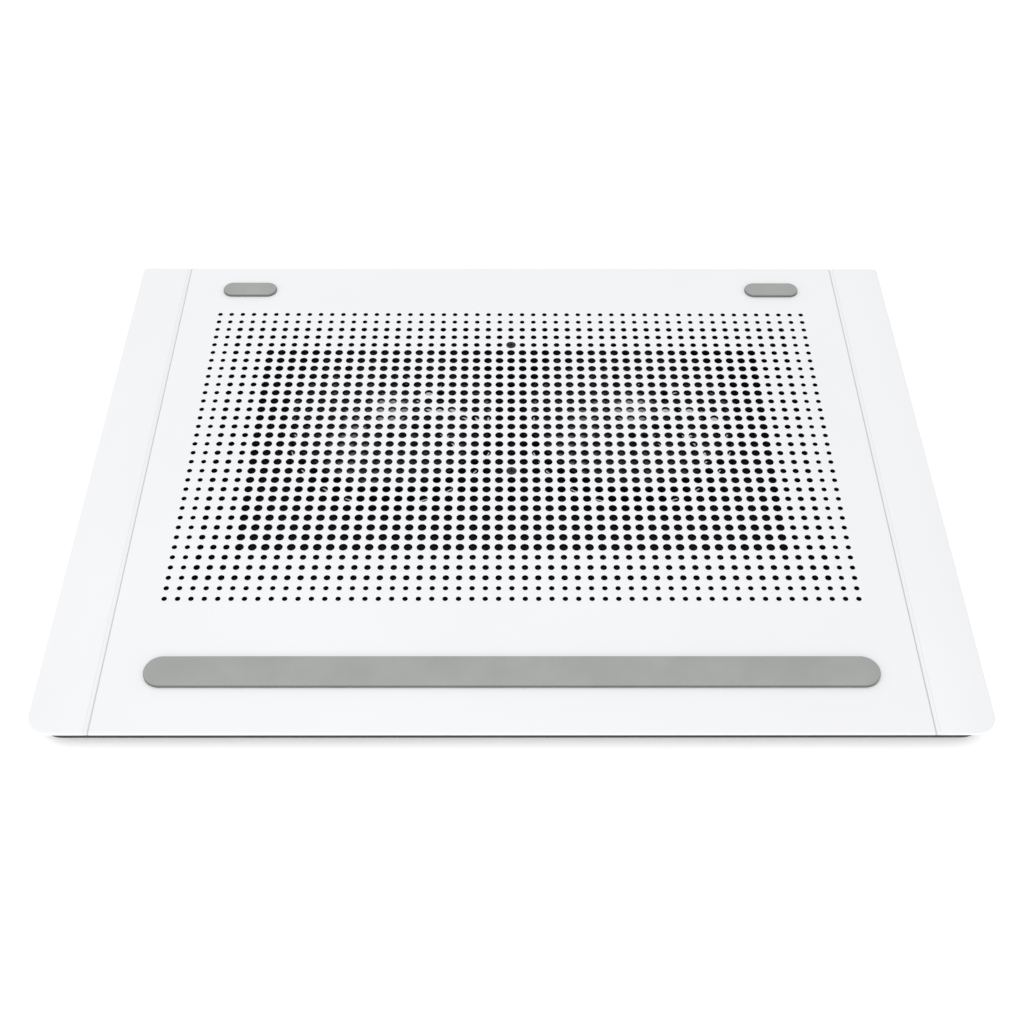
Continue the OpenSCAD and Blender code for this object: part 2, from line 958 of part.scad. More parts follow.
function unit(v) = v / norm(v);
function step_from(route, k) = unit(route[k + 1] - route[k]);
function tangent(route, k) =
    k == 0 ? step_from(route, 0)
    : k == len(route) - 1 ? step_from(route, k - 1)
    : unit(step_from(route, k - 1) + step_from(route, k));
function lead_ring(route, k) =
    let (t = tangent(route, k), across = unit(cross(t, lead_side_way)), up = cross(across, t))
    [for (s = [0:lead_sides - 1])
        let (a = 360 / lead_sides * s)
        route[k] + lead_r * (cos(a) * across + sin(a) * up)];
function lead_quad(k, s) =
    let (next = (s + 1) % lead_sides, here = k * lead_sides, ahead = here + lead_sides)
    [here + s, here + next, ahead + next, ahead + s];

// A tube swept along a route, with flat ends.
module lead(route) color([0.15, 0.15, 0.15]) {
    last = len(route) - 1;
    polyhedron(
        points = [for (k = [0:last]) each lead_ring(route, k)],
        faces = concat(
            [[for (s = [lead_sides - 1:-1:0]) s]],
            [for (k = [0:last - 1], s = [0:lead_sides - 1]) lead_quad(k, s)],
            [[for (s = [0:lead_sides - 1]) last * lead_sides + s]]
        )
    );
}

module fan_lead_left() lead(lead_left);
module fan_lead_right() lead(lead_right);

module lead_plugs() color([0.93, 0.92, 0.88]) {
    for (x = header_x)
        translate([x, header_y, 0])
            slab([header[0], header[1]], deck_z, deck_z + header[2]);
}

top_plate();
front_grip_strip();
rear_grip_pads();
centre_screws();
plate_standoffs();
bottom_shell();
case_screws();
front_feet();
rear_feet();
intake_grille_left();
intake_grille_right();
fan_frame_left();
fan_frame_right();
fan_screws();
fan_bearing_left();
fan_bearing_right();
fan_circuit_left();
fan_circuit_right();
stator_core_left();
stator_core_right();
stator_coils_left();
stator_coils_right();
fan_shaft_left();
fan_shaft_right();
shaft_clip_left();
shaft_clip_right();
rotor_magnet_left();
rotor_magnet_right();
impeller_left();
impeller_right();
hub_label_left();
hub_label_right();
control_board();
board_chips();
board_screws();
control_panel();
usb_output_socket();
usb_input_socket();
dial_sensor();
dial_spindle();
speed_dial();
switch_body();
power_switch();
power_light();
fan_lead_left();
fan_lead_right();
lead_plugs();
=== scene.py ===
"""Looks of the laptop cooling pad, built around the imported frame. Metres, row frame, +Z up."""

import math
import json

import bmesh
import bpy
from mathutils import Matrix, Vector


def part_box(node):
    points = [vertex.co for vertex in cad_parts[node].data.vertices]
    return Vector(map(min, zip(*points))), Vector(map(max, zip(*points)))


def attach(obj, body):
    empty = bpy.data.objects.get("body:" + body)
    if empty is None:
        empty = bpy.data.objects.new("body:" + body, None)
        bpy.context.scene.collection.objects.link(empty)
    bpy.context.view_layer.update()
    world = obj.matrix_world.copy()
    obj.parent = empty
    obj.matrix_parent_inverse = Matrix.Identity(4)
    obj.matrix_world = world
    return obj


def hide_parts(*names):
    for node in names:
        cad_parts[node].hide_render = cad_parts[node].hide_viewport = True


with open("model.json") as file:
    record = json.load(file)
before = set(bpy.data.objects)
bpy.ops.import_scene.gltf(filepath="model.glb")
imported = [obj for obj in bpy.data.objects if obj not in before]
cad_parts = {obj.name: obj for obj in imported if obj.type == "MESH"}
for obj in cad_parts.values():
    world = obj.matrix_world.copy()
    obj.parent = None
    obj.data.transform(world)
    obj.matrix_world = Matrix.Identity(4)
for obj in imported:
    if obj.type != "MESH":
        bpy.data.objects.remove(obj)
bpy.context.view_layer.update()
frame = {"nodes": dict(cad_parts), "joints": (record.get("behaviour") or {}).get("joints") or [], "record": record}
NODES = frame["nodes"]
RECORD = frame["record"]
MM = 0.001
SIDES = {"left": -1, "right": 1}

# ---- Sizes: the first are worked out from the frame ----

JOINT = {j["name"]: j for j in frame["joints"]}
FAN_JOINT = {side: JOINT[f"fan_spin_{side}"] for side in SIDES}
NORMAL = Vector(FAN_JOINT["right"]["axis"]).normalized()
TILT = math.atan2(-NORMAL.y, NORMAL.z)

PLATE_T = 1.6 * MM
plate_low, plate_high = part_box("top_plate")
PLATE_W = plate_high.x - plate_low.x
PLATE_D = (plate_high.y - plate_low.y - PLATE_T * math.sin(TILT)) / math.cos(TILT)
FRONT_EDGE = Vector((0, plate_low.y, plate_low.z + PLATE_T * math.cos(TILT)))
# The plate's own frame: origin at the middle of its front edge, X right, Y up the slope, Z off the face.
PLATE = Matrix.Translation(FRONT_EDGE) @ Matrix.Rotation(TILT, 4, "X")

# The rest repeat the part's own sizes, and the hole grid that they describe.
GRIP_H = 1.8 * MM
PITCH = 5.6 * MM
COLS, ROWS = 53, 33
FIELD_Y = 155.5 * MM
HOLE_R = {"small": 1.15 * MM, "medium": 1.4 * MM, "large": 1.9 * MM}
SMALL_RANK, MEDIUM_RANK = 2, 5
SCREW_COL, SCREW_ROWS = 26, (13, 28)
SCREW_HOLE_R = 2.35 * MM
FRONT_R, REAR_R = 9 * MM, 2.5 * MM
GROOVE_X, GROOVE_W, GROOVE_DEPTH = 166 * MM, 2 * MM, 0.6 * MM
GROOVE_WALL = 0.5 * MM
EDGE_R = 0.75 * MM
LOWER_EDGE_R = EDGE_R * 0.6


# ---- Small helpers for making pieces ----

PLATE_SMOOTH, PIECE_SMOOTH, FAN_SMOOTH, SOFT_SMOOTH = 30, 35, 40, 50


def new_piece(name, bm, matrix, material, smooth_angle=PIECE_SMOOTH, flat_faces=()):
    """Turns a bmesh into a piece placed by matrix, smooth across edges flatter than the angle."""
    mesh = bpy.data.meshes.new(name)
    bm.normal_update()
    bm.to_mesh(mesh)
    bm.free()
    obj = bpy.data.objects.new(name, mesh)
    bpy.context.scene.collection.objects.link(obj)
    obj.matrix_world = matrix
    mesh.materials.append(material)
    mesh.set_sharp_from_angle(angle=math.radians(smooth_angle))
    for face in mesh.polygons:
        face.use_smooth = face.index not in flat_faces
    return obj


def stand_for(obj, body, slot, node):
    """The piece rides on a body and replaces the CAD node; the slot argument is not used."""
    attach(obj, body)
    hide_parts(node)


def arc(cx, cy, r, start, end, steps):
    """Points on an arc, in degrees, both ends included."""
    out = []
    for k in range(steps + 1):
        a = math.radians(start + (end - start) * k / steps)
        out.append((cx + r * math.cos(a), cy + r * math.sin(a)))
    return out


def loop_of(bm, points, z):
    return [bm.verts.new((x, y, z)) for x, y in points]


def bridge(bm, low, high):
    """Quads between two closed loops of the same length, facing outward from counter-clockwise loops."""
    n = len(low)
    for k in range(n):
        bm.faces.new((low[k], low[(k + 1) % n], high[(k + 1) % n], high[k]))


def stacked(bm, rings):
    """A closed form from loops stacked bottom to top. Each ring is (points, z)."""
    loops = [loop_of(bm, points, z) for points, z in rings]
    for low, high in zip(loops, loops[1:]):
        bridge(bm, low, high)
    bm.faces.new(list(reversed(loops[0])))
    bm.faces.new(loops[-1])


ON_AXIS = 1e-7


def lathe(bm, profile, steps):
    """A closed ring or disc turned from (radius, height) points, listed outward and up."""
    loops = []
    for r, z in profile:
        if r < ON_AXIS:
            loops.append([bm.verts.new((0.0, 0.0, z))])
        else:
            loops.append(loop_of(bm, arc(0.0, 0.0, r, 0, 360 - 360 / steps, steps - 1), z))
    for low, high in zip(loops, loops[1:] + loops[:1]):
        if len(low) == 1 and len(high) == 1:
            continue
        for k in range(steps):
            n = (k + 1) % steps
            if len(low) == 1:
                bm.faces.new((low[0], high[n], high[k]))
            elif len(high) == 1:
                bm.faces.new((low[k], low[n], high[0]))
            else:
                bm.faces.new((low[k], low[n], high[n], high[k]))


# ---- Materials ----

class Maker:
    """Builds one procedural material, node by node."""

    def __init__(self, name):
        self.material = bpy.data.materials.new(name)
        self.material.use_nodes = True
        self.tree = self.material.node_tree
        self.shader = self.tree.nodes["Principled BSDF"]
        self.coords = self.add("ShaderNodeTexCoord").outputs["Object"]

    def add(self, kind, **values):
        node = self.tree.nodes.new(kind)
        for key, value in values.items():
            setattr(node, key, value)
        return node

    def link(self, a, b):
        self.tree.links.new(a, b)

    def noise(self, scale, detail=4.0, rough=0.55):
        node = self.add("ShaderNodeTexNoise")
        node.inputs["Scale"].default_value = scale
        node.inputs["Detail"].default_value = detail
        node.inputs["Roughness"].default_value = rough
        self.link(self.coords, node.inputs["Vector"])
        return node.outputs["Fac"]

    def ramp(self, value, low, high, at=(0.35, 0.65)):
        """Maps a 0..1 value to a colour or grey between low and high."""
        node = self.add("ShaderNodeValToRGB")
        for element, place, shade in zip(node.color_ramp.elements, at, (low, high)):
            element.position = place
            element.color = (*shade, 1.0) if isinstance(shade, tuple) else (shade, shade, shade, 1.0)
        self.link(value, node.inputs["Fac"])
        return node.outputs["Color"]

    def colour_of(self, node):
        return next(output for output in node.outputs if output.type == "RGBA")

    def mix(self, factor, a, b):
        node = self.add("ShaderNodeMix", data_type="RGBA")
        for key, value in {"Factor": factor, "A": a, "B": b}.items():
            socket = node.inputs[key]
            if isinstance(value, bpy.types.NodeSocket):
                self.link(value, socket)
            elif isinstance(value, tuple):
                socket.default_value = (*value, 1.0)
            else:
                socket.default_value = value
        return self.colour_of(node)

    def multiply(self, a, b):
        """One colour tinted by another."""
        node = self.add("ShaderNodeMix", data_type="RGBA", blend_type="MULTIPLY")
        node.inputs["Factor"].default_value = 1.0
        colours = [i for i in node.inputs if i.type == "RGBA"]
        self.link(a, colours[0])
        self.link(b, colours[1])
        return self.colour_of(node)

    def math(self, operation, a, b=0.5):
        node = self.add("ShaderNodeMath", operation=operation)
        for socket, value in zip(node.inputs, (a, b)):
            if isinstance(value, bpy.types.NodeSocket):
                self.link(value, socket)
            else:
                socket.default_value = value
        return node.outputs[0]

    def bump(self, height, strength, distance):
        node = self.add("ShaderNodeBump")
        node.inputs["Strength"].default_value = strength
        node.inputs["Distance"].default_value = distance
        self.link(height, node.inputs["Height"])
        self.link(node.outputs["Normal"], self.shader.inputs["Normal"])

    def set(self, **values):
        for key, value in values.items():
            socket = self.shader.inputs[key.replace("_", " ")]
            if isinstance(value, bpy.types.NodeSocket):
                self.link(value, socket)
            elif isinstance(value, tuple):
                socket.default_value = (*value, 1.0)
            else:
                socket.default_value = value
        return self


def shade(colour, factor):
    return tuple(min(1.0, c * factor) for c in colour)


def worn(name, colour, rough, grain, depth, spread, metallic=0.0, coat=0.0):
    """A moulded, painted or metal surface: mottled colour, uneven gloss and a fine grain."""
    m = Maker(name)
    cloud = m.noise(28)
    fine = m.noise(grain, detail=2.0)
    m.set(
        Base_Color=m.ramp(cloud, shade(colour, 1 - spread), shade(colour, 1 + spread)),
        Roughness=m.ramp(m.noise(90), *rough),
        Metallic=metallic,
    )
    m.shader.inputs["Coat Weight"].default_value = coat
    m.shader.inputs["Coat Roughness"].default_value = 0.15
    m.bump(fine, strength=depth, distance=0.0002)
    return m.material


# Painted shade in a groove: share of the way across it, then how light it is there.
PAINTED_GROOVE_SHADE = (
    (0.02, 1.0), (0.12, 0.62), (0.26, 0.66), (0.36, 1.0), (0.72, 1.0), (0.8, 0.88), (0.9, 1.0)
)
SHADE_MARGIN = 0.4 * MM


# Painted shade across a groove, as a grey that the white is multiplied by.
def painted_groove_shade(m, x):
    start = GROOVE_X - GROOVE_W / 2 - SHADE_MARGIN
    across = m.math("SUBTRACT", m.math("ABSOLUTE", x), start)
    share = m.math("DIVIDE", across, GROOVE_W + 2 * SHADE_MARGIN)
    node = m.add("ShaderNodeValToRGB")
    elements = node.color_ramp.elements
    while len(elements) < len(PAINTED_GROOVE_SHADE):
        elements.new(0.5)
    for element, (place, light) in zip(elements, PAINTED_GROOVE_SHADE):
        element.position = place
        element.color = (light, light, light, 1.0)
    m.link(share, node.inputs["Fac"])
    return node.outputs["Color"]


# Painted shade: the near black given to the walls of the holes, where shade falls inside them.
HOLE_WALL_PAINTED_SHADE = (0.008, 0.008, 0.009)
UPRIGHT = 0.3


def plate_paint():
    """Satin white paint with a fine sprayed texture; the walls of the holes are painted near black as painted
    shade, and the grooves carry painted shade.
    """
    m = Maker("plate_paint")
    cloud = m.noise(9, detail=3.0)
    spray = m.noise(2600, detail=2.0)
    white = m.ramp(cloud, (0.885, 0.889, 0.906), (0.902, 0.906, 0.922))
    parts = m.add("ShaderNodeSeparateXYZ")
    m.link(m.add("ShaderNodeTexCoord").outputs["Normal"], parts.inputs[0])
    place = m.add("ShaderNodeSeparateXYZ")
    m.link(m.coords, place.inputs[0])
    upright = m.math("LESS_THAN", m.math("ABSOLUTE", parts.outputs["Z"]), UPRIGHT)
    in_x = m.math("LESS_THAN", m.math("ABSOLUTE", place.outputs["X"]), (COLS / 2 + 1) * PITCH)
    off_y = m.math("ABSOLUTE", m.math("SUBTRACT", place.outputs["Y"], FIELD_Y))
    in_y = m.math("LESS_THAN", off_y, (ROWS / 2 + 1) * PITCH)
    # Painted shade: upright faces inside the field of holes, the hole walls, are turned near black.
    wall = m.math("MULTIPLY", upright, m.math("MULTIPLY", in_x, in_y))
    # Painted shade in the grooves darkens the white.
    white_with_groove_shade = m.multiply(white, painted_groove_shade(m, place.outputs["X"]))
    m.set(
        Base_Color=m.mix(wall, white_with_groove_shade, HOLE_WALL_PAINTED_SHADE),
        Roughness=m.ramp(m.noise(160, detail=2.0), 0.36, 0.44),
        Metallic=0.0,
    )
    m.shader.inputs["Coat Weight"].default_value = 0.15
    m.shader.inputs["Coat Roughness"].default_value = 0.3
    m.bump(spray, strength=0.06, distance=0.00006)
    return m.material


def rubber(name, colour, speckle, painted_side_shade=1.0):
    """Matt rubber with faint dust and a moulded grain; faces that stand up can be made darker, as painted shade.
    """
    m = Maker(name)
    cloud = m.noise(40, detail=5.0)
    dust = m.noise(1500, detail=3.0, rough=0.7)
    base = m.ramp(cloud, shade(colour, 1 - speckle), shade(colour, 1 + speckle))
    dusty = m.mix(m.ramp(dust, 0.0, 0.12, (0.55, 0.8)), base, shade(colour, 1.35))
    parts = m.add("ShaderNodeSeparateXYZ")
    m.link(m.add("ShaderNodeTexCoord").outputs["Normal"], parts.inputs[0])
    # Painted shade: faces that stand up are darker than the top.
    top = m.ramp(m.math("ABSOLUTE", parts.outputs["Z"]), painted_side_shade, 1.0, (0.1, 0.85))
    m.set(Base_Color=m.multiply(dusty, top))
    m.set(Roughness=m.ramp(cloud, 0.62, 0.8))
    m.bump(dust, strength=0.25, distance=0.0001)
    return m.material


def laminated():
    """A stack of thin steel sheets, seen from the side as fine level lines."""
    m = Maker("laminated_steel")
    wave = m.add("ShaderNodeTexWave", bands_direction="Z")
    wave.inputs["Scale"].default_value = 700
    m.link(m.coords, wave.inputs["Vector"])
    m.set(Base_Color=m.ramp(wave.outputs["Fac"], (0.28, 0.28, 0.3), (0.55, 0.55, 0.57)))
    m.set(Roughness=m.ramp(m.noise(300), 0.3, 0.5), Metallic=1.0)
    m.bump(wave.outputs["Fac"], strength=0.3, distance=0.0001)
    return m.material


def copper_windings():
    """Fine enamelled wire wound side by side."""
    m = Maker("copper_windings")
    wave = m.add("ShaderNodeTexWave", bands_direction="Z")
    wave.inputs["Scale"].default_value = 900
    wave.inputs["Distortion"].default_value = 0.6
    m.link(m.coords, wave.inputs["Vector"])
    m.set(Base_Color=m.ramp(wave.outputs["Fac"], (0.3, 0.08, 0.02), (0.75, 0.33, 0.12)))
    m.set(Roughness=m.ramp(m.noise(300), 0.25, 0.4), Metallic=0.7)
    m.bump(wave.outputs["Fac"], strength=0.5, distance=0.0001)
    return m.material


def circuit_green():
    """Solder mask over faint copper tracks."""
    m = Maker("circuit_green")
    tracks = m.add("ShaderNodeTexBrick")
    tracks.inputs["Scale"].default_value = 160
    tracks.inputs["Mortar Size"].default_value = 0.03
    tracks.inputs["Color1"].default_value = (0.01, 0.12, 0.05, 1)
    tracks.inputs["Color2"].default_value = (0.012, 0.14, 0.055, 1)
    tracks.inputs["Mortar"].default_value = (0.03, 0.26, 0.1, 1)
    m.link(m.coords, tracks.inputs["Vector"])
    m.set(Base_Color=tracks.outputs["Color"], Roughness=m.ramp(m.noise(200), 0.25, 0.4))
    m.bump(tracks.outputs["Fac"], strength=0.2, distance=0.0001)
    return m.material


BLACK = (0.012, 0.012, 0.013)
STEEL = (0.6, 0.6, 0.62)
MATERIALS = {
    "plate_metal": plate_paint(),
    # The grey rubber's upright sides carry painted shade.
    "grip_rubber": rubber("grey_rubber", (0.36, 0.375, 0.36), speckle=0.06, painted_side_shade=0.45),
    "foot_rubber": rubber("black_rubber", (0.02, 0.02, 0.021), speckle=0.15),
    "lead_rubber": rubber("lead_insulation", (0.015, 0.015, 0.016), speckle=0.1),
    "black_screw": worn(
        "black_oxide", (0.01, 0.01, 0.011), rough=(0.42, 0.55),
        grain=1500, depth=0.1, spread=0.2, metallic=0.1
    ),
    "steel": worn(
        "plated_steel", STEEL, rough=(0.2, 0.35), grain=1500, depth=0.05, spread=0.08, metallic=1.0
    ),
    "shell_plastic": worn(
        "shell_plastic", BLACK, rough=(0.46, 0.56), grain=1800, depth=0.3, spread=0.05
    ),
    "board_green": circuit_green(),
    "chip_black": worn(
        "chip_epoxy", (0.02, 0.02, 0.02), rough=(0.45, 0.6), grain=1200, depth=0.1, spread=0.1
    ),
    "panel_plastic": worn(
        "panel_gloss", (0.012, 0.012, 0.014), rough=(0.1, 0.2),
        grain=600, depth=0.03, spread=0.1, coat=0.5
    ),
    "socket_metal": worn(
        "socket_nickel", (0.68, 0.68, 0.7), rough=(0.18, 0.3),
        grain=1500, depth=0.05, spread=0.06, metallic=1.0
    ),
    "sensor_blue": worn(
        "sensor_case", (0.03, 0.08, 0.25), rough=(0.4, 0.5), grain=900, depth=0.1, spread=0.08
    ),
    "dial_plastic": worn(
        "dial_plastic", (0.02, 0.02, 0.022), rough=(0.4, 0.55), grain=1500, depth=0.25, spread=0.15
    ),
    "light_plastic": worn(
        "light_pipe", (0.7, 0.82, 0.95), rough=(0.08, 0.15),
        grain=400, depth=0.02, spread=0.04, coat=0.6
    ),
    "plug_white": worn(
        "nylon_plug", (0.8, 0.78, 0.72), rough=(0.35, 0.5), grain=900, depth=0.08, spread=0.05
    ),
    "grille_plastic": worn(
        "grille_plastic", (0.018, 0.018, 0.019), rough=(0.38, 0.5), grain=1500, depth=0.25, spread=0.12
    ),
    "fan_plastic": worn(
        "fan_plastic", (0.02, 0.02, 0.022), rough=(0.35, 0.5), grain=1500, depth=0.15, spread=0.12
    ),
    "bearing_brass": worn(
        "sintered_bronze", (0.65, 0.45, 0.2), rough=(0.35, 0.55),
        grain=2500, depth=0.3, spread=0.15, metallic=1.0
    ),
    "core_steel": laminated(),
    "coil_copper": copper_windings(),
    "magnet_black": worn(
        "ferrite", (0.03, 0.028, 0.028), rough=(0.5, 0.65), grain=2000, depth=0.2, spread=0.15
    ),
    "impeller_plastic": worn(
        "impeller_plastic", (0.07, 0.07, 0.076), rough=(0.16, 0.26),
        grain=500, depth=0.03, spread=0.1, coat=0.4
    ),
    "label_white": worn(
        "label_foil", (0.86, 0.86, 0.87), rough=(0.3, 0.42), grain=1500, depth=0.06, spread=0.02
    ),
}
SLOT_OF = {row["node"]: row["material_slot"] for row in RECORD["subparts"]}


def dress_cad_nodes():
    """Every CAD node that still shows gets its procedural material."""
    for name, obj in NODES.items():
        obj.data.materials.clear()
        obj.data.materials.append(MATERIALS[SLOT_OF[name]])


# ---- The top plate ----

def rank(i, j):
    """How many holes lie between this one and the nearest side of the grid."""
    return min(i, COLS - 1 - i, j, ROWS - 1 - j)


def hole_radius(i, j):
    if i == SCREW_COL and j in SCREW_ROWS:
        return SCREW_HOLE_R
    near_edge = rank(i, j)
    size = "small" if near_edge < SMALL_RANK else "medium" if near_edge < MEDIUM_RANK else "large"
    return HOLE_R[size]


HOLE_SIDES = 24
HOLE_ANGLES = [math.tau * k / HOLE_SIDES for k in range(HOLE_SIDES)]
HOLE_LIP = 0.12 * MM


def cell_point(cx, cy, angle):
    """Where a ray from the cell's centre meets the cell's square border."""
    c, s = math.cos(angle), math.sin(angle)
    reach = PITCH / 2 / max(abs(c), abs(s))
    return cx + reach * c, cy + reach * s


def add_cell(bm, vert, cx, cy, r):
    """One square of the sheet, both faces, with its hole through it and a rounded lip on top."""
    lip_mid = 0.3 * HOLE_LIP
    wall = ((r + HOLE_LIP, 0.0), (r + lip_mid, -lip_mid), (r, -HOLE_LIP), (r, -PLATE_T))
    loops = [[vert(*cell_point(cx, cy, a), 0.0) for a in HOLE_ANGLES]]
    for radius, z in wall:
        ring = [(cx + radius * math.cos(a), cy + radius * math.sin(a)) for a in HOLE_ANGLES]
        loops.append(loop_of(bm, ring, z))
    loops.append([vert(*cell_point(cx, cy, a), -PLATE_T) for a in HOLE_ANGLES])
    for outer, inner in zip(loops, loops[1:]):
        for k in range(HOLE_SIDES):
            n = (k + 1) % HOLE_SIDES
            bm.faces.new((outer[k], outer[n], inner[n], inner[k]))


def build_plate():
    """The perforated sheet: a cell for each hole, then the margins with their grooves and rim."""
    bm = bmesh.new()
    x_left = -COLS * PITCH / 2
    y_front = FIELD_Y - ROWS * PITCH / 2
    shared = {}

    def vert(x, y, z):
        key = (round(x / MM, 4), round(y / MM, 4), round(z / MM, 4))
        if key not in shared:
            shared[key] = bm.verts.new((x, y, z))
        return shared[key]

    for i in range(COLS):
        for j in range(ROWS):
            cx, cy = x_left + (i + 0.5) * PITCH, y_front + (j + 0.5) * PITCH
            add_cell(bm, vert, cx, cy, hole_radius(i, j))
    build_margins(bm, vert, x_left, y_front)
    bmesh.ops.recalc_face_normals(bm, faces=bm.faces)
    return bm


def outline_x(y, inset):
    """Half width of the plate's inset outline at a height up the slope."""
    half = PLATE_W / 2
    for r, depth in ((FRONT_R, y), (REAR_R, PLATE_D - y)):
        if depth < r:
            rise = r - depth
            reach = max(0.0, (r - inset) ** 2 - rise ** 2)
            return half - r + math.sqrt(reach)
    return half - inset


def groove_height(x):
    """Height of the upper face across the plate: steep on the groove's inner side, gentle outside."""
    outward = abs(x) - GROOVE_X + GROOVE_W / 2
    if outward < GROOVE_WALL:
        return -GROOVE_DEPTH * max(0.0, outward / GROOVE_WALL)
    return -GROOVE_DEPTH * max(0.0, (GROOVE_W - outward) / (GROOVE_W - GROOVE_WALL))


EDGE_STEPS = 5
CORNER_STEPS = 10
FRONT_STEPS, REAR_STEPS = 8, 5
TINY = 1e-7


def build_margins(bm, vert, x_left, y_front):
    """Everything outside the field of holes, built row by row so that the faces meet the cells."""
    x_right, y_rear = -x_left, y_front + ROWS * PITCH
    facing_y = [a for a in HOLE_ANGLES if abs(math.sin(a)) >= abs(math.cos(a)) - 1e-9]
    along = sorted({round(cell_point(0, 0, a)[0], 9) for a in facing_y})
    field_x = sorted({round(x_left + (i + 0.5) * PITCH + a, 7) for i in range(COLS) for a in along})
    field_y = sorted({round(y_front + (j + 0.5) * PITCH + a, 7) for j in range(ROWS) for a in along})

    front_rows = arc_rows(FRONT_R)
    rear_rows = [PLATE_D - y for y in reversed(arc_rows(REAR_R))]
    front = front_rows + spaced(front_rows[-1], y_front, FRONT_STEPS)
    rear = spaced(y_rear, rear_rows[0], REAR_STEPS, first=True) + rear_rows
    ys = sorted({round(v, 7) for v in front + field_y + rear})
    left_xs = groove_xs(-1) + [x_left]
    right_xs = [x_right] + groove_xs(1)

    def columns(y):
        edge = outline_x(y, EDGE_R)
        left = [max(x, -edge) for x in left_xs]
        right = [min(x, edge) for x in right_xs]
        return [-edge] + left, right + [edge]

    def put(x, y, top):
        return vert(x, y, groove_height(x) if top else -PLATE_T)

    between = [x_left] + [x for x in field_x if x_left < x < x_right] + [x_right]
    for top in (True, False):
        for y0, y1 in zip(ys, ys[1:]):
            beside_holes = y0 >= y_front - TINY and y1 <= y_rear + TINY
            spans = list(zip(columns(y0), columns(y1)))
            if not beside_holes:
                spans.append((between, between))
            for low, high in spans:
                strip(bm, [put(x, y0, top) for x in low], [put(x, y1, top) for x in high])
    roll_edge(bm)


def spaced(a, b, steps, first=False):
    """Even steps from a to b, with a itself only if first is set."""
    values = [a + (b - a) * k / steps for k in range(steps + 1)]
    return values if first else values[1:]


def arc_rows(r):
    """Heights up the slope at which a round corner is divided, from the rolled edge's inner line."""
    inner = r - EDGE_R
    return [r - inner * math.cos(math.radians(90 * k / CORNER_STEPS)) for k in range(CORNER_STEPS + 1)]


def groove_xs(side):
    """Lines beside and along one groove, in increasing x."""
    inner = GROOVE_X - GROOVE_W / 2
    return sorted(side * x for x in (inner, inner + GROOVE_WALL, inner + GROOVE_W))


def strip(bm, low, high):
    """Faces between two rows of points, leaving out what has no width or is already there."""
    for k in range(len(low) - 1):
        corners = []
        for v in (low[k], low[k + 1], high[k + 1], high[k]):
            if v not in corners:
                corners.append(v)
        if len(corners) > 2 and not bm.faces.get(corners):
            bm.faces.new(corners)


# Anything further out than these lines is the sheet's rim, and not the border of a hole.
RIM_X, RIM_Y_LOW, RIM_Y_HIGH = 150 * MM, 30 * MM, 260 * MM


def on_rim(v):
    return abs(v.co.x) > RIM_X or v.co.y < RIM_Y_LOW or v.co.y > RIM_Y_HIGH


def rim_direction(x, y):
    """The way out of the sheet at a point of its rim, in the sheet's own plane."""
    half = PLATE_W / 2
    rear_y = PLATE_D - REAR_R
    for r, cy, in_corner in ((FRONT_R, FRONT_R, y < FRONT_R), (REAR_R, rear_y, y > rear_y)):
        if in_corner and abs(x) > half - r:
            cx = math.copysign(half - r, x)
            return Vector((x - cx, y - cy, 0)).normalized()
    if abs(x) > half - 2 * EDGE_R:
        return Vector((math.copysign(1, x), 0, 0))
    return Vector((0, -1 if y < PLATE_D / 2 else 1, 0))


def roll_edge(bm):
    """Rounds the sheet's rim: the border of the flat faces is carried out and down in a quarter turn."""
    border = [e for e in bm.edges if len(e.link_faces) == 1]
    rim = [e for e in border if all(on_rim(v) for v in e.verts)]
    moved = {}

    def chain(v):
        if v not in moved:
            out = rim_direction(v.co.x, v.co.y)
            up = 1 if v.co.z > -PLATE_T / 2 else -1
            radius = EDGE_R if up > 0 else LOWER_EDGE_R
            line = [v]
            for k in range(1, EDGE_STEPS + 1):
                a = math.radians(90 * k / EDGE_STEPS)
                reach = EDGE_R * math.sin(a)
                drop = radius * (1 - math.cos(a))
                line.append(bm.verts.new(v.co + out * reach - Vector((0, 0, up * drop))))
            moved[v] = line
        return moved[v]

    for e in rim:
        a, b = (chain(v) for v in e.verts)
        for k in range(EDGE_STEPS):
            bm.faces.new((a[k], b[k], b[k + 1], a[k + 1]))
    close_rim(bm, rim, moved)


def close_rim(bm, rim, moved):
    """Joins the upper and the lower quarter turn. Ends are keyed by their place in the plate."""
    ends = {}

    def place(v):
        return round(v.co.x / MM, 3), round(v.co.y / MM, 3)

    for v, line in moved.items():
        ends.setdefault(place(v), {})[v.co.z > -PLATE_T / 2] = line[-1]
    for e in rim:
        if e.verts[0].co.z > -PLATE_T / 2:
            a, b = (ends[place(v)] for v in e.verts)
            if len(a) == 2 and len(b) == 2:
                bm.faces.new((a[True], b[True], b[False], a[False]))


def make_plate():
    obj = new_piece("perforated_plate", build_plate(), PLATE, MATERIALS["plate_metal"], PLATE_SMOOTH)
    stand_for(obj, "housing", "plate_metal", "top_plate")


# ---- Rubber grips ----

GRIP_SOFT, GRIP_FOOT_IN, GRIP_FOOT_H = 0.9 * MM, 0.15 * MM, 0.2 * MM
GRIP_STEPS, END_STEPS = 5, 16
PAD_W = 27 * MM


def stadium_points(w, d, inset):
    """Outline with two round ends, set in all round."""
    r = d / 2
    cx = w / 2 - r
    return arc(cx, 0, r - inset, -90, 90, END_STEPS) + arc(-cx, 0, r - inset, 90, 270, END_STEPS)


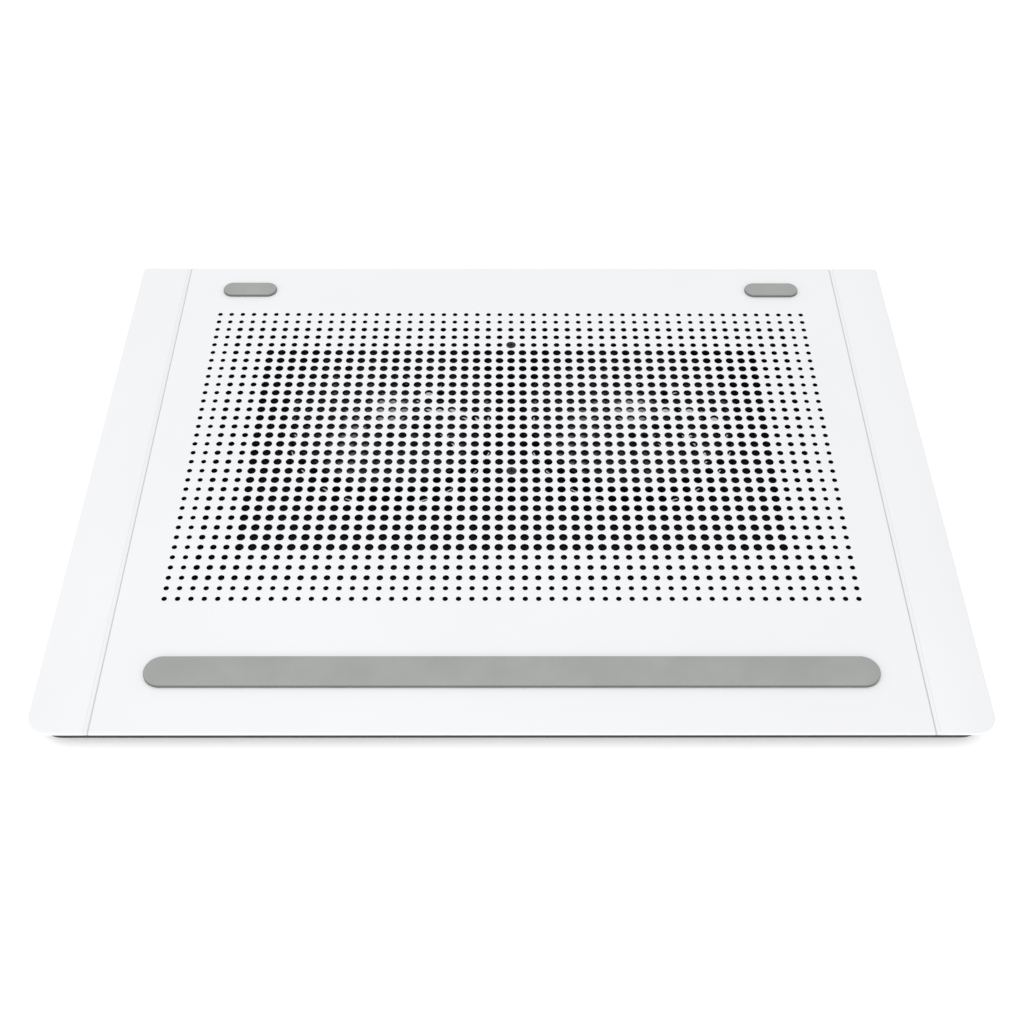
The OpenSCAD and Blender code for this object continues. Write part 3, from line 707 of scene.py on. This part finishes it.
def add_grip(bm, cx, cy, w, d, h):
    """A raised pad with round ends and a softly rounded top edge."""
    rings = [(GRIP_FOOT_IN, 0.0), (0.0, GRIP_FOOT_H), (0.0, h - GRIP_SOFT)]
    for k in range(1, GRIP_STEPS + 1):
        a = math.radians(90 * k / GRIP_STEPS)
        rings.append((GRIP_SOFT * (1 - math.cos(a)), h - GRIP_SOFT + GRIP_SOFT * math.sin(a)))
    stack = []
    for inset, z in rings:
        stack.append(([(x + cx, y + cy) for x, y in stadium_points(w, d, inset)], z))
    stacked(bm, stack)


def up_slope(low, high):
    """A grip's middle and its depth, both measured up the slope."""
    depth = (high.y - low.y - GRIP_H * math.sin(TILT)) / math.cos(TILT)
    centre = PLATE.inverted() @ ((low + high) / 2)
    return centre.y, depth


def make_grip_piece(name, node, width, centres):
    """One piece of equal grips, placed across the plate at the given centres."""
    middle, depth = up_slope(*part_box(node))
    bm = bmesh.new()
    for cx in centres:
        add_grip(bm, cx, middle, width, depth, GRIP_H)
    piece = new_piece(name, bm, PLATE, MATERIALS["grip_rubber"])
    stand_for(piece, "housing", "grip_rubber", node)


def make_grips():
    strip_low, strip_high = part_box("front_grip_strip")
    make_grip_piece("front_rubber_strip", "front_grip_strip", strip_high.x - strip_low.x, [0])
    pad_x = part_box("rear_grip_pads")[1].x - PAD_W / 2
    pad_centres = [side * pad_x for side in SIDES.values()]
    make_grip_piece("rear_rubber_pads", "rear_grip_pads", PAD_W, pad_centres)


# ---- Fans ----

HUB_R = 14 * MM
HUB_TOP = -3.7 * MM
HUB_LOW = -12.7 * MM
BLADE_TOP, BLADE_LOW = -4.5 * MM, -12.5 * MM
BLADE_TIP = 45.8 * MM
BLADES = 11
BLADE_SPANS, BLADE_CHORDS = 14, 10
BLADE_SWEEP, SWEEP_POWER = math.radians(-26), 1.6
ROOT_HALF_ANGLE, TIP_NARROWING = 19.5, 3.5
BLADE_ROOT_IN = 0.4 * MM
# Shares of half the blade's height: its tilt, its camber, its drop, and how much the tip flattens.
BLADE_TILT, BLADE_CAMBER, BLADE_DROP, TIP_LEAN = 0.86, 0.22, 0.06, 0.18
BLADE_EDGE_T, BLADE_MID_EXTRA, TIP_THINNING = 0.35 * MM, 0.55 * MM, 0.25
HUB_WALL, HUB_ROOF, HUB_ROUND, HUB_STEPS = 1.2 * MM, 1.2 * MM, 1.2 * MM, 5
HUB_FOOT_IN = 0.2 * MM
BOSS_R, BORE_R = 2.4 * MM, 1.0 * MM
BOSS_LOW, BORE_TOP = -5.8 * MM, -4.3 * MM
LABEL_R = 8.4 * MM
LABEL_T = 0.2 * MM
LABEL_LOW_IN, LABEL_TOP_IN = 0.05 * MM, 0.1 * MM
LABEL_GROOVE = ((0.9 * MM, 0.0), (0.6 * MM, -0.25 * MM), (0.2 * MM, -0.25 * MM), (0.1 * MM, 0.0))
TURN_STEPS = 72


def fan_matrix(side):
    """A fan's own frame: its axis is Z, and the plate's top face is at zero height."""
    centre = Vector(FAN_JOINT[side]["pos_m"])
    lift = (FRONT_EDGE - centre).dot(NORMAL)
    return Matrix.Translation(centre + lift * NORMAL) @ Matrix.Rotation(TILT, 4, "X")


def blade_point(u, v):
    """A blade's angle, radius, height and thickness: u runs out to the tip, v across from -1 to 1."""
    root = HUB_R - BLADE_ROOT_IN
    r = root + (BLADE_TIP - root) * u
    half_angle = math.radians(ROOT_HALF_ANGLE - TIP_NARROWING * u)
    angle = BLADE_SWEEP * u ** SWEEP_POWER + half_angle * v
    lean = 1 - TIP_LEAN * u
    middle = (BLADE_TOP + BLADE_LOW) / 2
    rise = (BLADE_TOP - BLADE_LOW) / 2
    camber = 1 - v * v
    z = middle + rise * lean * (-v * BLADE_TILT + BLADE_CAMBER * camber - BLADE_DROP)
    thick = (BLADE_EDGE_T + BLADE_MID_EXTRA * camber) * (1 - TIP_THINNING * u)
    return angle, r, z, thick


def add_blade(bm, turn):
    """A swept, twisted and cambered blade, thick in the middle and thin at its edges."""
    top, bottom = [], []
    for s in range(BLADE_SPANS + 1):
        row_top, row_bottom = [], []
        for c in range(BLADE_CHORDS + 1):
            angle, r, z, thick = blade_point(s / BLADE_SPANS, c / BLADE_CHORDS * 2 - 1)
            x, y = r * math.cos(turn + angle), r * math.sin(turn + angle)
            row_top.append(bm.verts.new((x, y, z + thick / 2)))
            row_bottom.append(bm.verts.new((x, y, z - thick / 2)))
        top.append(row_top)
        bottom.append(row_bottom)
    for s in range(BLADE_SPANS):
        for c in range(BLADE_CHORDS):
            bm.faces.new((top[s][c], top[s + 1][c], top[s + 1][c + 1], top[s][c + 1]))
            bm.faces.new((bottom[s][c], bottom[s][c + 1], bottom[s + 1][c + 1], bottom[s + 1][c]))
    for s in range(BLADE_SPANS):
        bm.faces.new((top[s][0], bottom[s][0], bottom[s + 1][0], top[s + 1][0]))
        bm.faces.new((top[s][-1], top[s + 1][-1], bottom[s + 1][-1], bottom[s][-1]))
    for c in range(BLADE_CHORDS):
        bm.faces.new((top[0][c], top[0][c + 1], bottom[0][c + 1], bottom[0][c]))
        bm.faces.new((top[-1][c], bottom[-1][c], bottom[-1][c + 1], top[-1][c + 1]))


def hub_profile():
    """Half section of the hub cup: boss, roof, wall, round shoulder and the groove at the label."""
    inner = HUB_R - HUB_WALL
    roof = HUB_TOP - HUB_ROOF
    points = [(BORE_R, BOSS_LOW), (BOSS_R, BOSS_LOW), (BOSS_R, roof), (inner, roof), (inner, HUB_LOW)]
    points += [(HUB_R - HUB_FOOT_IN, HUB_LOW), (HUB_R, HUB_LOW + HUB_FOOT_IN)]
    for k in range(HUB_STEPS + 1):
        a = math.radians(90 * k / HUB_STEPS)
        points.append((HUB_R - HUB_ROUND * (1 - math.cos(a)), HUB_TOP - HUB_ROUND * (1 - math.sin(a))))
    points += [(LABEL_R + out, HUB_TOP + z) for out, z in LABEL_GROOVE]
    return points + [(0.0, HUB_TOP), (0.0, BORE_TOP), (BORE_R, BORE_TOP)]


def make_impeller(side):
    bm = bmesh.new()
    lathe(bm, hub_profile(), TURN_STEPS)
    for k in range(BLADES):
        add_blade(bm, math.tau * k / BLADES)
    bmesh.ops.recalc_face_normals(bm, faces=bm.faces)
    material = MATERIALS["impeller_plastic"]
    obj = new_piece(f"fan_blades_{side}", bm, fan_matrix(side), material, FAN_SMOOTH)
    stand_for(obj, f"fan_rotor_{side}", "impeller_plastic", f"impeller_{side}")


def make_label(side):
    """A thin foil disc with a rounded rim."""
    bm = bmesh.new()
    top = HUB_TOP + LABEL_T
    widest = (LABEL_R, HUB_TOP + 0.4 * LABEL_T)
    rim = [(LABEL_R - LABEL_LOW_IN, HUB_TOP), widest, (LABEL_R - LABEL_TOP_IN, top)]
    lathe(bm, [(0.0, HUB_TOP), *rim, (0.0, top)], TURN_STEPS)
    obj = new_piece(f"hub_disc_{side}", bm, fan_matrix(side), MATERIALS["label_white"])
    stand_for(obj, f"fan_rotor_{side}", "label_white", f"hub_label_{side}")


# ---- Moulded and stamped parts with softened edges ----

# Edge radius of each part that is the CAD shape with its sharp edges taken off.
SOFT_EDGES = {
    "bottom_shell": 0.5, "control_panel": 0.25, "front_feet": 0.8, "rear_feet": 0.8,
    "intake_grille_left": 0.3, "intake_grille_right": 0.3, "fan_frame_left": 0.3, "fan_frame_right": 0.3,
    "usb_output_socket": 0.08, "usb_input_socket": 0.08, "speed_dial": 0.12, "power_switch": 0.25,
    "switch_body": 0.12, "case_screws": 0.15, "fan_screws": 0.12, "board_screws": 0.12,
    "control_board": 0.1, "board_chips": 0.1, "lead_plugs": 0.2, "plate_standoffs": 0.15,
    "centre_screws": 0.08, "power_light": 0.12, "fan_lead_left": 0.0, "fan_lead_right": 0.0,
}
# In degrees: edges sharper than SHARP are rounded, and faces within ONE_PLANE of each other are merged.
SHARP, CURVED, ONE_PLANE = 40, 1, 0.5
MERGE = 1e-6


def body_of(node):
    for name, nodes in RECORD["behaviour"]["bodies"].items():
        if node in nodes:
            return name
    raise KeyError(node)


def is_flat(face):
    """True when no neighbour carries on around a curve, so the face is a plane of its own."""
    angles = [e.calc_face_angle(0.0) for e in face.edges if e.is_manifold]
    return not any(math.radians(CURVED) < angle < math.radians(SHARP) for angle in angles)


def soften(node, radius):
    """A copy of a CAD node with flat faces merged and every sharp edge rounded."""
    source = NODES[node]
    bm = bmesh.new()
    bm.from_mesh(source.data)
    bmesh.ops.remove_doubles(bm, verts=bm.verts, dist=MERGE)
    bmesh.ops.dissolve_limit(bm, angle_limit=math.radians(ONE_PLANE), verts=bm.verts, edges=bm.edges)
    edges = [e for e in bm.edges if e.is_manifold and e.calc_face_angle() > math.radians(SHARP)]
    flat = bm.faces.layers.int.new("flat")
    for face in bm.faces:
        face[flat] = int(is_flat(face))
    if radius:
        bmesh.ops.bevel(
            bm, geom=edges, offset=radius * MM, segments=2, profile=0.5, affect="EDGES",
            clamp_overlap=True, material=1
        )
    bm.faces.index_update()
    flat_faces = {f.index for f in bm.faces if f[flat] and f.material_index == 0}
    for face in bm.faces:
        face.material_index = 0
    slot = SLOT_OF[node]
    place = source.matrix_world.copy()
    piece = new_piece(f"{node}_soft", bm, place, MATERIALS[slot], SOFT_SMOOTH, flat_faces)
    stand_for(piece, body_of(node), slot, node)


# ---- Camera, lights and floor ----

# The camera's turn about the plate's axes in degrees, and the hole grid's place in front of it.
VIEW_PITCH, VIEW_YAW, VIEW_ROLL = -40.92, 0.23, 0.17
VIEW_SHIFT = Vector((-0.05, 5.60, -116.6)) * PITCH
LENS, SENSOR = 49.85, 36


def make_camera():
    camera = bpy.data.objects.new("camera", bpy.data.cameras.new("camera"))
    bpy.context.scene.collection.objects.link(camera)
    turn = (
        Matrix.Rotation(math.radians(VIEW_PITCH), 4, "X")
        @ Matrix.Rotation(math.radians(VIEW_YAW), 4, "Y")
        @ Matrix.Rotation(math.radians(VIEW_ROLL), 4, "Z")
    )
    field = PLATE @ Matrix.Translation((0, FIELD_Y, 0))
    camera.matrix_world = field @ turn.inverted() @ Matrix.Translation(-VIEW_SHIFT)
    camera.data.lens = LENS
    camera.data.sensor_width = SENSOR
    camera.data.clip_start = 0.01
    camera.data.dof.use_dof = False
    bpy.context.scene.camera = camera


def area_light(name, place, aim, size, power):
    light = bpy.data.lights.new(name, "AREA")
    light.shape = "RECTANGLE"
    light.size, light.size_y = size
    light.energy = power
    obj = bpy.data.objects.new(name, light)
    bpy.context.scene.collection.objects.link(obj)
    obj.location = place
    obj.rotation_euler = (Vector(aim) - Vector(place)).to_track_quat("-Z", "Y").to_euler()


FLOOR_REACH = 30.0
WORLD_STRENGTH = 0.78
FLOOR_GLOW = 0.42


def make_studio():
    world = bpy.data.worlds.new("studio")
    bpy.context.scene.world = world
    bpy.context.scene.view_settings.view_transform = "Standard"
    world.use_nodes = True
    background = world.node_tree.nodes["Background"]
    background.inputs["Color"].default_value = (1, 1, 1, 1)
    background.inputs["Strength"].default_value = WORLD_STRENGTH
    area_light("key_left", (-0.7, -0.5, 1.0), aim=(0, -0.05, 0), size=(0.8, 0.8), power=1.7)
    area_light("top_soft", (0.0, 0.1, 0.95), aim=(0, -0.02, 0), size=(0.7, 0.5), power=1.4)
    area_light("front_fill", (0, -1.2, 0.45), aim=(0, 0, 0.02), size=(1.2, 0.3), power=1.4)
    make_floor()


def make_floor():
    """A wide pale floor that glows a little, so that it stays white round the object."""
    bm = bmesh.new()
    reach = FLOOR_REACH
    corners = [(-reach, -reach), (reach, -reach), (reach, reach), (-reach, reach)]
    bm.faces.new(loop_of(bm, corners, 0.0))
    m = Maker("studio_floor")
    m.set(Base_Color=(0.9, 0.9, 0.9), Roughness=0.7)
    m.set(Emission_Color=(1.0, 1.0, 1.0), Emission_Strength=FLOOR_GLOW)
    floor = new_piece("studio_floor", bm, Matrix.Identity(4), m.material)


make_camera()
dress_cad_nodes()
make_plate()
make_grips()
for fan_side in SIDES:
    make_impeller(fan_side)
    make_label(fan_side)
for soft_node, soft_radius in SOFT_EDGES.items():
    soften(soft_node, soft_radius)
make_studio()
